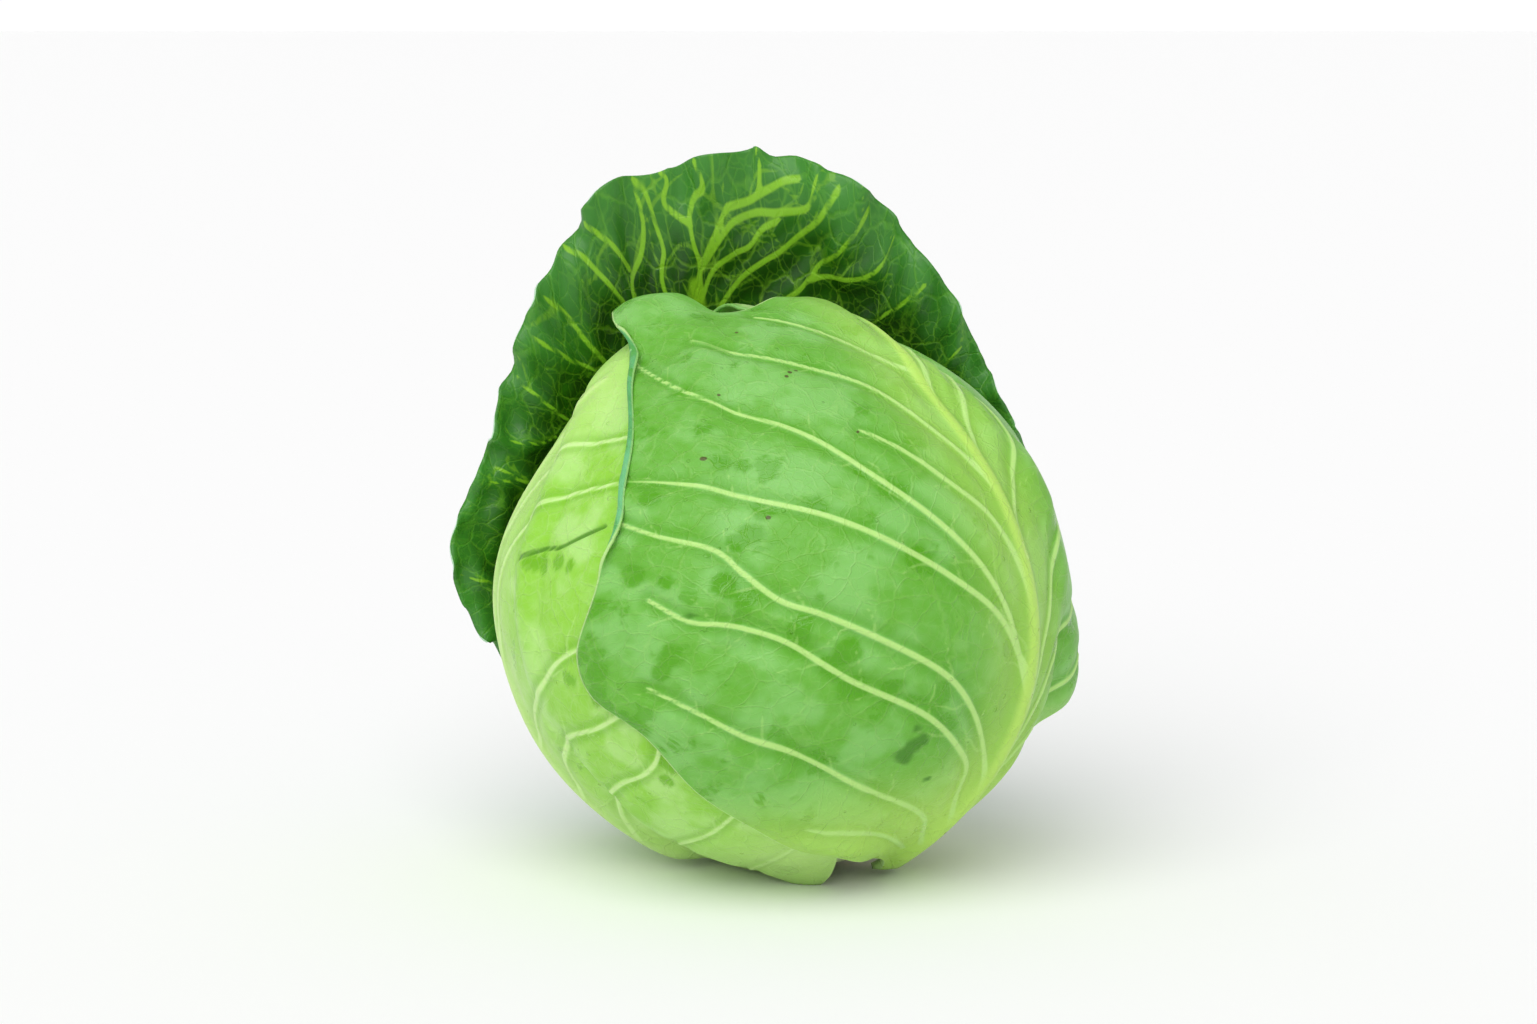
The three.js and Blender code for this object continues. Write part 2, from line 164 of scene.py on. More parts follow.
def heart_radius(d):
    """The heart's radius in millimetres along unit directions: nearly round, flat where the head stands."""
    rise = np.degrees(np.arccos(np.clip(d @ STEMWARD, -1, 1)))
    flank = FLANK_DIP * hill(np.arccos(np.clip(d @ FLANKWARD, -1, 1)), FLANK_WIDTH)
    plump = HEART_RADIUS - SHOULDER_DIP * hill(rise - SHOULDER_RISE, SHOULDER_WIDTH) - flank
    flat = (CENTRE_HEIGHT - BASE_STACK) / np.maximum(-d[..., 2], 0.5)
    share = np.clip(0.5 + (flat - plump) / (2 * BASE_ROUND), 0, 1)
    pressed = flat + (plump - flat) * share - BASE_ROUND * share * (1 - share)
    return np.where(d[..., 2] > -0.5, plump, pressed)


def finish_piece(bm, name, node, materials):
    """Puts a finished mesh, in metres, into the scene in the place of its CAD node."""
    piece = bpy.data.objects.new(name, bpy.data.meshes.new(name))
    bm.to_mesh(piece.data)
    bm.free()
    piece.data.shade_smooth()
    bpy.context.collection.objects.link(piece)
    for material in materials:
        piece.data.materials.append(material)
    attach(piece, "root")
    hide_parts(node)
    return piece


bm = bmesh.new()
bmesh.ops.create_uvsphere(bm, u_segments=120, v_segments=80, radius=1)
spots = np.array([v.co for v in bm.verts])
d = spots[:, :1] * SIDEWARD - spots[:, 1:2] * FRONTWARD - spots[:, 2:] * STEMWARD
d /= np.linalg.norm(d, axis=1, keepdims=True)
rise = np.degrees(np.arccos(np.clip(d @ STEMWARD, -1, 1)))
turn = np.degrees(np.arctan2(d @ SIDEWARD, d @ FRONTWARD))
fold = np.mod((turn + rise * FOLD_TWIST) / FOLD_TURN, 1)
radius = heart_radius(d) - STEM_DIP * smooth(STEM_DIP_EDGE, STEM_DIP_FLOOR, rise)
radius -= FOLD_EDGE * smooth(0.04, 0.0, fold) + FOLD_STEP * fold * smooth(20, 50, rise)
for v, p in zip(bm.verts, d * radius[:, None] + MIDDLE):
    v.co = p * MM
bmesh.ops.recalc_face_normals(bm, faces=bm.faces)
# Cabbage heart leaf: blanched, pale yellow green, with a faint net of veins.
heart_leaf, tree, shader = new_material("blanched cabbage leaf")
place = add_node(tree, "ShaderNodeTexCoord").outputs["Object"]
cells = {"Vector": place, "Scale": HEART_NET_SCALE}
net = add_node(tree, "ShaderNodeTexVoronoi", cells, feature="DISTANCE_TO_EDGE")
steps = {"Value": net, 1: 0.0, 2: 0.09, 3: 0.5, 4: 0.0}
line = add_node(tree, "ShaderNodeMapRange", steps, interpolation_type="SMOOTHSTEP")
colours = {0: line, 6: linear("#C3DF86"), 7: linear("#E6F1C0")}
tone = add_node(tree, "ShaderNodeMix", colours, data_type="RGBA")
tree.links.new(tone.outputs[2], shader.inputs["Base Color"])
shader.inputs["Roughness"].default_value = 0.5
finish_piece(bm, "heart_leaves", "heart", [heart_leaf])

# Stem: the stump of the stalk, cut across with a knife. A woody ring surrounds the paler pith, and the
# face has dried and browned a little.
STEM_RADIUS = 12.5
STEM_FACE = 85.2
STEM_TOP = HEART_RADIUS - STEM_DIP + 1
STEM_BEVEL = 1.2
PITH_RING, PITH_STEPS = 2.4, (0, -0.3, 0.25, 0.2)
PITH_EDGE, RING_EDGE = 0.0075, 0.0125
STAIN_SCALE = 260.0  # spots to a metre, so 4 mm each
bm = bmesh.new()
bmesh.ops.create_cone(
    bm, cap_ends=True, segments=72, radius1=STEM_RADIUS, radius2=STEM_RADIUS, depth=STEM_FACE - STEM_TOP
)
rims = [e for e in bm.edges if e.calc_face_angle(0) > 1]
bmesh.ops.bevel(
    bm, geom=rims, offset=STEM_BEVEL, offset_type="OFFSET", segments=4, profile=0.5, affect="EDGES",
    material=-1,
)
for cap in [f for f in bm.faces if len(f.verts) > 8]:
    for depth in PITH_STEPS:
        bmesh.ops.inset_region(bm, faces=[cap], thickness=PITH_RING, depth=depth)
bmesh.ops.triangulate(bm, faces=[f for f in bm.faces if len(f.verts) > 8])
for v in bm.verts:
    around = math.atan2(v.co.y, v.co.x)
    swell = 1 + 0.03 * math.sin(5 * around) + 0.02 * math.sin(9 * around + 1)
    p = np.array([v.co.x * swell, v.co.y * swell, v.co.z - (STEM_FACE + STEM_TOP) / 2])
    v.co = (p[0] * SIDEWARD + p[1] * np.cross(-STEMWARD, SIDEWARD) - p[2] * STEMWARD + MIDDLE) * MM
bmesh.ops.recalc_face_normals(bm, faces=bm.faces)
# Cut cabbage stalk: moist pith inside a fibrous ring, rough from the knife.
cut_stalk, tree, shader = new_material("cut cabbage stalk")
place = add_node(tree, "ShaderNodeTexCoord").outputs["Object"]
axis = (MIDDLE + STEM_FACE * STEMWARD) * MM
away = add_node(tree, "ShaderNodeVectorMath", {0: place, 1: tuple(axis)}, operation="DISTANCE")
steps = {"Value": away.outputs["Value"], 1: PITH_EDGE, 2: RING_EDGE}
ring = add_node(tree, "ShaderNodeMapRange", steps, interpolation_type="SMOOTHSTEP")
stain = add_node(tree, "ShaderNodeTexNoise", {"Vector": place, "Scale": STAIN_SCALE, "Detail": 6.0})
stained = add_node(tree, "ShaderNodeMapRange", {"Value": stain, 1: 0.45, 2: 0.75})
colours = {0: stained, 6: linear("#E2E6B8"), 7: linear("#C9B978")}
pith = add_node(tree, "ShaderNodeMix", colours, data_type="RGBA")
colours = {0: ring, 6: pith.outputs[2], 7: linear("#B9CC86")}
stalk = add_node(tree, "ShaderNodeMix", colours, data_type="RGBA")
rough = add_node(tree, "ShaderNodeBump", {"Height": stain, "Strength": 0.6, "Distance": 0.0006})
tree.links.new(stalk.outputs[2], shader.inputs["Base Color"])
tree.links.new(rough.outputs[0], shader.inputs["Normal"])
shader.inputs["Roughness"].default_value = 0.65
finish_piece(bm, "stem_stump", "stem", [cut_stalk])

# Crown leaf: the innermost wrapper that shows, under the front leaf and over the crown.
# A leaf is drawn flat, in millimetres, on a chart that touches the head at one point, and laid on the leaves
# below it. Its midrib and side veins stand out, and the blade swells a little between them.
CHART_RADIUS = 88
CHART_RISE = 95
LAYER_GAP = 1.0
PRESS_RIM, PRESS_FADE = 2.0, 13.0
RIB_CLEAR = 1.5
SOLE_RADIUS, SOLE_FADE = 17, 30
BLADE_WALL = 0.95
RIB_SUNK, RIB_FREE = -0.97, -0.9
VEIN_RISE, TWIG_RISE = 0.7, 0.4
VEIN_FADE, TWIG_FADE = 0.15, 1.1
NO_VEIN = 9.0
INLAND = 12
SWAY_HIGH, SWAY_LONG = 0.45, 46
GLOW_WIDTH = 24
MIDDLE_M = Vector(MIDDLE * MM)
laid = []


class Chart:
    """A flat chart, in millimetres, that touches the head at one point and wraps it from there."""

    def __init__(self, turn):
        turn, rise = math.radians(turn), math.radians(CHART_RISE)
        around = math.cos(turn) * FRONTWARD + math.sin(turn) * SIDEWARD
        self.out = math.cos(rise) * STEMWARD + math.sin(rise) * around
        up = -STEMWARD + self.out * (STEMWARD @ self.out)
        self.up = up / np.linalg.norm(up)
        self.right = np.cross(self.up, self.out)

    def to_head(self, flat):
        length = np.maximum(np.hypot(flat[..., 0], flat[..., 1]), 1e-9)[..., None]
        side = (flat[..., :1] * self.right + flat[..., 1:2] * self.up) / length
        return np.cos(length / CHART_RADIUS) * self.out + np.sin(length / CHART_RADIUS) * side

    def to_flat(self, d):
        flat = np.stack([d @ self.right, d @ self.up], -1)
        angle = np.arccos(np.clip(d @ self.out, -1, 1))[..., None]
        return flat * CHART_RADIUS * angle / np.maximum(np.linalg.norm(flat, axis=-1, keepdims=True), 1e-9)


def smooth_line(points, steps=240):
    """A smooth line through the points, cut at equal steps of its length."""
    p = np.array(points, float)
    ends = np.vstack([2 * p[0] - p[1], p, 2 * p[-1] - p[-2]])
    pieces = []
    for a, b, c, d in zip(ends, ends[1:], ends[2:], ends[3:]):
        k1, k2, k3 = (math.sqrt(max(np.linalg.norm(q), 1e-6)) for q in (b - a, c - b, d - c))
        t1, t2, t3 = k1, k1 + k2, k1 + k2 + k3
        t = np.linspace(t1, t2, 24, endpoint=False)[:, None]
        ab = (t1 - t) / t1 * a + t / t1 * b
        bc = (t2 - t) / k2 * b + (t - t1) / k2 * c
        cd = (t3 - t) / k3 * c + (t - t2) / k3 * d
        abc = (t2 - t) / t2 * ab + t / t2 * bc
        bcd = (t3 - t) / (t3 - t1) * bc + (t - t1) / (t3 - t1) * cd
        pieces.append((t2 - t) / k2 * abc + (t - t1) / k2 * bcd)
    whole = np.vstack(pieces + [p[-1:]])
    along = np.concatenate([[0], np.cumsum(np.linalg.norm(np.diff(whole, axis=0), axis=1))])
    even = np.linspace(0, along[-1], steps + 1)
    return read_line(whole, np.interp(even, along, np.linspace(0, 1, len(along))))


def read_line(line, share):
    """Points by their share of the way along a line."""
    at = np.clip(share, 0, 1) * (len(line) - 1)
    return np.stack([np.interp(at, np.arange(len(line)), column) for column in line.T], -1)


def to_line(points, line):
    """The distance of each point to a line, and the share of the line's length there."""
    best = np.full(points.shape[:-1], 1e9)
    share = np.zeros(points.shape[:-1])
    for i, (a, b) in enumerate(zip(line, line[1:])):
        t = np.clip(((points - a) @ (b - a)) / max((b - a) @ (b - a), 1e-9), 0, 1)
        away = np.linalg.norm(points - a - t[..., None] * (b - a), axis=-1)
        near = away < best
        best[near] = away[near]
        share[near] = (i + t[near]) / (len(line) - 1)
    return best, share


def inside_by(flat, outline):
    """How far points of a chart lie inside a closed outline, negative outside."""
    away, _ = to_line(flat, np.vstack([outline, outline[:1]]))
    x, y = flat[..., 0], flat[..., 1]
    inside = np.zeros(x.shape, bool)
    for (ax, ay), (bx, by) in zip(np.roll(outline, 1, axis=0), outline):
        if ay != by:
            inside ^= ((ay > y) != (by > y)) & (x < (bx - ax) * (y - ay) / (by - ay) + ax)
    return np.where(inside, away, -away)


class Leaf:
    """A drawing of a leaf and the way it lies: midrib and margins, its rows, and the sizes of its relief."""

    def __init__(
        self, turn, midrib, left, right, veins, rib, blade=1.6, vein_high=0.6, lift=None, curl=None
    ):
        self.chart = Chart(turn)
        self.midrib, self.left, self.right = (smooth_line(points) for points in (midrib, left, right))
        self.outline = np.vstack([self.left[::4], self.right[-5::-4]])
        self.rows = np.array(veins, float)
        self.rib, self.blade, self.vein_high, self.curl = rib, blade, vein_high, curl
        self.lift = lift or (lambda x, y: 0 * x)
        self.over = list(laid)
        laid.append(self)

    def rib_at(self, flat, spread=1.0):
        """The midrib's height over the blade, and the distance to it in its own widths and in millimetres."""
        high, high_tip, wide, wide_tip = self.rib
        away, share = to_line(flat, self.midrib[::6])
        width = wide + (wide_tip - wide) * share**0.6
        free = smooth(RIB_SUNK, RIB_FREE, self.chart.to_head(flat)[..., 2])
        rise = free * (high + (high_tip - high) * share**0.7) * hill(away, spread * width)
        return rise, away / width, away

    def layer_under(self, d):
        """The radius of the head below this leaf, with every leaf that it lies on."""
        radius = heart_radius(d) + LAYER_GAP
        for lower in self.over:
            flat = lower.chart.to_flat(d)
            reach = smooth(-PRESS_FADE, -PRESS_RIM, inside_by(flat, lower.outline))
            thick = lower.blade + np.maximum(lower.vein_high, lower.rib_at(flat, RIB_CLEAR)[0])
            radius = radius + reach * (thick + LAYER_GAP + lower.lift(flat[..., 0], flat[..., 1]))
        return radius

    def row_points(self, row, side, u):
        """Chart points by row number, side and share of the way from the midrib to the margin."""
        at = [np.interp(row, np.arange(len(self.rows)), column) for column in self.rows.T]
        foot = read_line(self.midrib, at[0])
        end = np.where((side < 0)[..., None], read_line(self.left, at[1]), read_line(self.right, at[2]))
        span = end - foot
        length = np.maximum(np.linalg.norm(span, axis=-1), 1e-9)
        bow = np.where(side < 0, at[3], at[4]) * u * (1 - u) * 4 * (1 - u * 0.6)
        across = np.stack([-side * span[..., 1], side * span[..., 0]], -1) / length[..., None]
        return foot + span * u[..., None] + bow[..., None] * across, length

    def points(self, row, side, u):
        """Points of the bare blade on the head, in millimetres, and their places on the chart."""
        along, rise = u, 0.0 * u
        if self.curl:
            _, length = self.row_points(row, side, u)
            width, turn = self.curl(row, side)
            start = np.clip(1 - width / length, 0.05, 0.999)
            bend = np.maximum(np.radians(turn), 1e-4)
            angle = np.clip((u - start) / (1 - start), 0, 1) * bend
            along = np.where(angle > 0, start + (1 - start) * np.sin(angle) / bend, u)
            rise = (1 - start) * length * (1 - np.cos(angle)) / bend
        flat, _ = self.row_points(row, side, along)
        d = self.chart.to_head(flat)
        radius = self.layer_under(d) + self.lift(flat[..., 0], flat[..., 1])
        radius = radius + rise * radius / CHART_RADIUS
        return d * radius[..., None] + MIDDLE, flat


def waves(flat, length, seed):
    """A gentle, repeatable swell of about one wave a length."""
    draw = np.random.default_rng(seed)
    total = 0
    for _ in range(7):
        heading = draw.uniform(0, math.tau)
        phase = draw.uniform(0, math.tau)
        stretch = draw.uniform(0.7, 1.5)
        along = flat @ [math.cos(heading), math.sin(heading)]
        total = total + np.sin(math.tau / (length * stretch) * along + phase)
    return total / 3.5


def twigs_of(veins, seed, spacing, length):
    """Small veins that fork off the side veins, left and right in turn."""
    draw = np.random.default_rng(seed)
    twigs = []
    for line, wide, _ in veins:
        total = np.linalg.norm(np.diff(line, axis=0), axis=1).sum()
        side = draw.choice([-1, 1])
        for at in np.arange(spacing * draw.uniform(0.5, 1), total, spacing):
            side = -side
            share = (at + draw.uniform(-0.2, 0.2) * spacing) / total
            start, ahead = read_line(line, np.array([share, share + 0.02]))
            way = math.atan2(*(ahead - start)[::-1]) + side * draw.uniform(0.5, 0.95)
            steps = [start]
            for _ in range(6):
                way += draw.normal(0, 0.22) - side * 0.05
                stride = length / 6 * draw.uniform(0.7, 1.3)
                steps.append(steps[-1] + stride * np.array([math.cos(way), math.sin(way)]))
            twigs.append((np.array(steps), wide * 0.42, wide * 0.2))
    return twigs


def row_veins(leaf, wide=1.3):
    """Side veins along the rows of a plain leaf, on both sides."""
    veins = []
    for row in range(1, len(leaf.rows) - 1):
        for side in (-1, 1):
            u = np.linspace(0.02, 0.93, 24)
            line, _ = leaf.row_points(np.full(24, float(row)), np.full(24, side), u)
            veins.append((line, wide, 0.5))
    return veins


def nearest_vein(points, veins, fade):
    """The least distance to any vein in that vein's own widths, with the width there."""
    best = np.full(points.shape[:-1], NO_VEIN)
    width = np.full(points.shape[:-1], 0.5)
    for line, wide, thin in veins:
        low, high = line.min(0) - 10 * wide, line.max(0) + 10 * wide
        close = ((points > low) & (points < high)).all(-1)
        if not close.any():
            continue
        away, share = to_line(points[close], line)
        local = wide + (thin - wide) * share
        far = away / local + fade * smooth(0.75, 1.0, share)
        nearer = far < best[close]
        best[close] = np.where(nearer, far, best[close])
        width[close] = np.where(nearer, local, width[close])
    return best, width


def blots(paper, spots, seed):
    """Irregular patches, each given by its place and its radius: 1 inside, 0 outside."""
    share = np.zeros(paper.shape[:-1])
    for x, y, size in spots:
        away = np.linalg.norm(paper - [x, y], axis=-1) / size + 0.3 * waves(paper, size * 2.6, seed)
        share = np.maximum(share, smooth(1.2, 0.8, away))
        seed += 1
    return share


def make_leaf(
    name, leaf, materials, across, along, veins, twigs, seed, swell=0.8,
    ripple=None, sole=False, clear=(), bruise=(), crack=None, vein_fade=VEIN_FADE,
):
    """A leaf of real thickness: a grid laid on the head, shaped by its ribs and veins, and given its wall."""
    bm = bmesh.new()
    bmesh.ops.create_grid(bm, x_segments=across, y_segments=along, size=1)
    bm.verts.ensure_lookup_table()
    column = np.array([round((v.co.x + 1) / 2 * across) for v in bm.verts])
    line = np.array([round((v.co.y + 1) / 2 * along) for v in bm.verts])
    s, t = np.meshgrid(np.linspace(-1, 1, across + 1), np.linspace(0, 1, along + 1))
    row, side, u = t * (len(leaf.rows) - 1), np.where(s < 0, -1, 1), np.abs(s)
    spots, flat = leaf.points(row, side, u)
    rib_rise, rib, rib_mm = leaf.rib_at(flat)
    paper, length = leaf.row_points(row, side, u)
    vein, vein_wide = nearest_vein(paper, veins, vein_fade)
    twig, twig_wide = nearest_vein(paper, twigs, TWIG_FADE)
    rim = (1 - u) * length
    inland = smooth(0, INLAND, rim)
    ridge = np.maximum(rib_rise, VEIN_RISE * vein_wide * hill(vein, 1.0))
    relief = ridge + TWIG_RISE * twig_wide * hill(twig, 1.0)
    between = smooth(0.5, 7, vein) * smooth(0.8, 3, rib)
    relief += swell * inland * (between - 0.5) + SWAY_HIGH * waves(paper, SWAY_LONG, seed) * inland
    if ripple:
        relief += ripple(paper, rim)
    east, north = np.gradient(spots, axis=1), np.gradient(spots, axis=0)
    normal = np.cross(east, north)
    normal /= np.maximum(np.linalg.norm(normal, axis=-1, keepdims=True), 1e-9)
    normal[-1] = normal[-2] + normal[-2][::-1]
    normal[-1] /= np.linalg.norm(normal[-1], axis=-1, keepdims=True)
    spots = spots + normal * (leaf.blade + relief)[..., None]
    if sole:
        pressed = smooth(SOLE_FADE, SOLE_RADIUS, np.hypot(spots[..., 0], spots[..., 1]))
        spots[..., 2] *= 1 - pressed * (spots[..., 2] < 30)
    spots[..., 2] = np.maximum(spots[..., 2], 0)
    under = spots - normal * (BLADE_WALL + ridge)[..., None]
    fields = {"rib": rib, "vein": vein, "twig": twig, "rim": rim, "near_rib": hill(rib_mm, GLOW_WIDTH)}
    fields.update(clear=blots(paper, clear, seed), bruise=blots(paper, bruise, seed + 50))
    fields["crack"] = np.full(u.shape, NO_VEIN) if crack is None else to_line(paper, crack)[0]
    layers = {key: bm.verts.layers.float.new(key) for key in fields}
    chart = bm.verts.layers.float_vector.new("flat")
    inner = bm.verts.layers.float_vector.new("inner")
    for v, i, j in zip(bm.verts, line, column):
        v.co = spots[i, j] * MM
        v[inner] = under[i, j] * MM
        v[chart] = (paper[i, j, 0], paper[i, j, 1], 0)
        for key, field in fields.items():
            v[layers[key]] = field[i, j]
    bmesh.ops.remove_doubles(bm, verts=bm.verts, dist=1e-6)
    bm.normal_update()
    sample = list(bm.faces)[:: max(len(bm.faces) // 400, 1)]
    if sum(1 if f.normal.dot(f.calc_center_median() - MIDDLE_M) > 0 else -1 for f in sample) < 0:
        bmesh.ops.reverse_faces(bm, faces=bm.faces)
    wall = bmesh.ops.extrude_face_region(bm, geom=list(bm.faces), use_keep_orig=True)["geom"]
    for part in wall:
        if isinstance(part, bmesh.types.BMVert):
            part.co = part[inner]
        elif isinstance(part, bmesh.types.BMFace):
            part.material_index = len(materials) - 1
    bmesh.ops.recalc_face_normals(bm, faces=bm.faces)
    bm.verts.layers.float_vector.remove(inner)
    return finish_piece(bm, name + "_blade", name, materials)


# Sizes of the skin's patterns, in millimetres.
BLOOM_CLOUD, BLOOM_GRAIN, WET_PATCH = 26.0, 5.0, 15.0
COARSE_NET, FINE_NET, NET_BEND = 9.0, 3.2, 5.0
SKIN_GRAIN, SKIN_PUCKER = 1.6, 7.0
BEAD_SPACING = 4.5


def leaf_skin(
    name, blade, bloom, wet_and_flank_shade, vein, rib, edge, edge_width=3.0, bloom_share=0.5, wet_share=0.3, net=0.5,
    drops=0.0, foot=-92, specks=(), roughness=0.42, glow=0.55, edge_share=0.85,
):
    """Cabbage leaf skin: a waxy blade with bluish bloom, soaked patches, a net of fine veins, pale ribs, and
    painted shade along the veins.
    """
    material, tree, shader = new_material(name)

    def read(key, output="Fac"):
        return add_node(tree, "ShaderNodeAttribute", attribute_name=key).outputs[output]

    def ramp(value, low, high, out_low=0.0, out_high=1.0):
        inputs = {"Value": value, 1: low, 2: high, 3: out_low, 4: out_high}
        return add_node(tree, "ShaderNodeMapRange", inputs, interpolation_type="SMOOTHSTEP").outputs[0]

    def tint(share, below, above):
        below, above = (linear(c) if isinstance(c, str) else c for c in (below, above))
        return add_node(tree, "ShaderNodeMix", {0: share, 6: below, 7: above}, data_type="RGBA").outputs[2]

    def maths(operation, a, b=0.0):
        return add_node(tree, "ShaderNodeMath", {0: a, 1: b}, operation=operation).outputs[0]

    def noise(size, detail=3.0, rough=0.55):
        inputs = {"Vector": flat, "Scale": 1 / size, "Detail": detail, "Roughness": rough}
        return add_node(tree, "ShaderNodeTexNoise", inputs)

    def net_edge(size):
        inputs = {"Vector": bent, "Scale": 1 / size}
        return add_node(tree, "ShaderNodeTexVoronoi", inputs, feature="DISTANCE_TO_EDGE").outputs[0]

    flat = read("flat", "Vector")
    wander = {0: noise(COARSE_NET).outputs["Color"], 1: (0.5, 0.5, 0.5)}
    bend = add_node(tree, "ShaderNodeVectorMath", wander, operation="SUBTRACT")
    bend = add_node(tree, "ShaderNodeVectorMath", {0: bend.outputs[0], 3: NET_BEND}, operation="SCALE")
    bent = add_node(tree, "ShaderNodeVectorMath", {0: flat, 1: bend.outputs[0]}).outputs[0]
    coarse_line = ramp(net_edge(COARSE_NET), 0.0, 0.055, 1.0, 0.0)
    fine_line = ramp(net_edge(FINE_NET), 0.0, 0.09, 1.0, 0.0)

    cloud = noise(BLOOM_CLOUD).outputs["Fac"]
    tone = tint(ramp(cloud, 0.62 - 0.3 * bloom_share, 0.78 - 0.3 * bloom_share), blade, bloom)
    tone = tint(ramp(noise(BLOOM_GRAIN, 5.0).outputs["Fac"], 0.35, 0.75, 0.0, 0.35), tone, bloom)
    # Painted shade: a band of the darker, clearer green of the soaked patches along both flanks of every vein,
    # standing in for the shade beside the raised veins.
    vein_flank_shade = maths("MULTIPLY", ramp(read("vein"), 0.9, 1.6), ramp(read("vein"), 2.0, 5.0, 0.5, 0.0))
    tone = tint(vein_flank_shade, tone, wet_and_flank_shade)
    patch = noise(WET_PATCH, 4.0, 0.5).outputs["Fac"]
    wetness = ramp(patch, 0.70 - 0.3 * wet_share, 0.78 - 0.3 * wet_share, 0.0, 0.7)
    wetness = maths("MAXIMUM", wetness, maths("MULTIPLY", read("clear"), 0.92))
    tone = tint(wetness, tone, wet_and_flank_shade)
    tone = tint(maths("MULTIPLY", fine_line, 0.35 * net), tone, vein)
    tone = tint(maths("MULTIPLY", coarse_line, 0.6 * net), tone, vein)
    tone = tint(ramp(read("near_rib"), 0.1, 1.0, 0.0, glow), tone, rib)
    base = add_node(tree, "ShaderNodeSeparateXYZ", {0: flat}).outputs["Y"]
    tone = tint(ramp(base, foot + 34, foot - 12, 0.0, 0.8), tone, rib)
    tone = tint(ramp(read("rim"), 0.3, edge_width, edge_share, 0.0), tone, edge)
    tone = tint(ramp(read("twig"), 0.5, 1.9, 0.2 + 0.4 * net, 0.0), tone, vein)
    tone = tint(ramp(read("vein"), 0.5, 1.15, 0.9, 0.0), tone, vein)
    tone = tint(ramp(read("rib"), 0.35, 0.95, 0.95, 0.0), tone, rib)
    tone = tint(maths("MULTIPLY", read("bruise"), 0.85), tone, "#3C7C0A")
    tone = tint(ramp(read("crack"), 0.5, 1.15, 0.9, 0.0), tone, "#4E8A14")
    for x, y, size in specks:
        warp = {0: bend.outputs[0], 3: size / 6.0}
        warp = add_node(tree, "ShaderNodeVectorMath", warp, operation="SCALE").outputs[0]
        spot = add_node(tree, "ShaderNodeVectorMath", {0: flat, 1: warp}).outputs[0]
        away = add_node(tree, "ShaderNodeVectorMath", {0: spot, 1: (x, y, 0)}, operation="DISTANCE")
        tone = tint(ramp(away.outputs["Value"], size * 0.8, size * 1.15, 0.85, 0.0), tone, "#4A3A16")
    tree.links.new(tone, shader.inputs["Base Color"])

    height = maths("MULTIPLY", coarse_line, 0.16)
    height = maths("ADD", height, maths("MULTIPLY", fine_line, 0.07))
    height = maths("ADD", height, maths("MULTIPLY", noise(SKIN_GRAIN, 3.0).outputs["Fac"], 0.10))
    height = maths("ADD", height, maths("MULTIPLY", noise(SKIN_PUCKER, 2.0).outputs["Fac"], 0.35))
    gloss = ramp(wetness, 0.0, 0.9, roughness, 0.2)
    if drops:
        inputs = {"Vector": flat, "Scale": 1 / BEAD_SPACING, "Randomness": 1.0}
        bead = add_node(tree, "ShaderNodeTexVoronoi", inputs, feature="F1")
        lot = add_node(tree, "ShaderNodeSeparateColor", {0: bead.outputs["Color"]})
        size = maths("ADD", maths("MULTIPLY", lot.outputs[1], 0.14), 0.07)
        size = maths("MULTIPLY", maths("GREATER_THAN", lot.outputs[0], 1 - drops), size)
        size = maths("MAXIMUM", size, 0.001)
        dome = maths("SUBTRACT", 1.0, maths("DIVIDE", bead.outputs["Distance"], size))
        dome = maths("SQRT", maths("MAXIMUM", dome, 0.0))
        height = maths("ADD", height, maths("MULTIPLY", dome, 0.55))
        gloss = maths("SUBTRACT", gloss, maths("MULTIPLY", ramp(dome, 0.0, 0.2), 0.2))
    bump = add_node(tree, "ShaderNodeBump", {"Height": height, "Strength": 0.8, "Distance": 0.001})
    tree.links.new(bump.outputs[0], shader.inputs["Normal"])
    tree.links.new(gloss, shader.inputs["Roughness"])
    shader.inputs["IOR"].default_value = 1.45
    shader.inputs["Specular IOR Level"].default_value = 0.42
    shader.inputs["Subsurface Weight"].default_value = 0.12
    shader.inputs["Subsurface Radius"].default_value = (0.5, 1.0, 0.25)
    shader.inputs["Subsurface Scale"].default_value = 0.002
    return material


# Rows of a plain leaf: shares of the way along the midrib, the left margin and the right one, then the bows
# of the row to the left and to the right, in millimetres.
PLAIN_VEINS = [
    (0, 0, 0, 0, 0),
    (0.12, 0.16, 0.16, 0, 0),
    (0.2, 0.3, 0.3, 3, 3),
    (0.29, 0.43, 0.43, 5, 5),
    (0.4, 0.55, 0.55, 6, 6),
    (0.53, 0.67, 0.67, 5, 5),
    (0.68, 0.79, 0.79, 4, 4),
    (0.84, 0.9, 0.9, 2, 2),
    (1, 1, 1, 0, 0),
]


def round_leaf(half, tip):
    """The drawing of a broad round wrapper."""

    def side(s):
        low = [(s * 8, -131), (s * 19, -116), (s * 0.55 * half, -92), (s * 0.86 * half, -52), (s * half, -5)]
        return low + [(s * 0.95 * half, 40), (s * 0.74 * half, 80), (s * 0.4 * half, tip - 14), (0, tip)]

    midrib = [(0, -130), (0, -60), (0, 10), (0, tip - 22)]
    return {"midrib": midrib, "left": side(-1), "right": side(1), "veins": PLAIN_VEINS}


# Inner wrapper skin: pale, because the leaves over it kept the light off.
inner_skin = leaf_skin(
    "inner wrapper leaf", blade="#A5D36E", bloom="#BBDF93", wet_and_flank_shade="#9CCB4E", vein="#DDF0BB", rib="#E0EDBE",
    edge="#B5D98A", wet_share=0.1,
)
crown = Leaf(4, rib=(1.4, 0.4, 8, 3), **round_leaf(96, 146))
veins = row_veins(crown, 1.1)
make_leaf(
    "leaf_crown", crown, [inner_skin], across=110, along=130, veins=veins,
    twigs=twigs_of(veins, seed=1, spacing=17, length=15), seed=11,
)

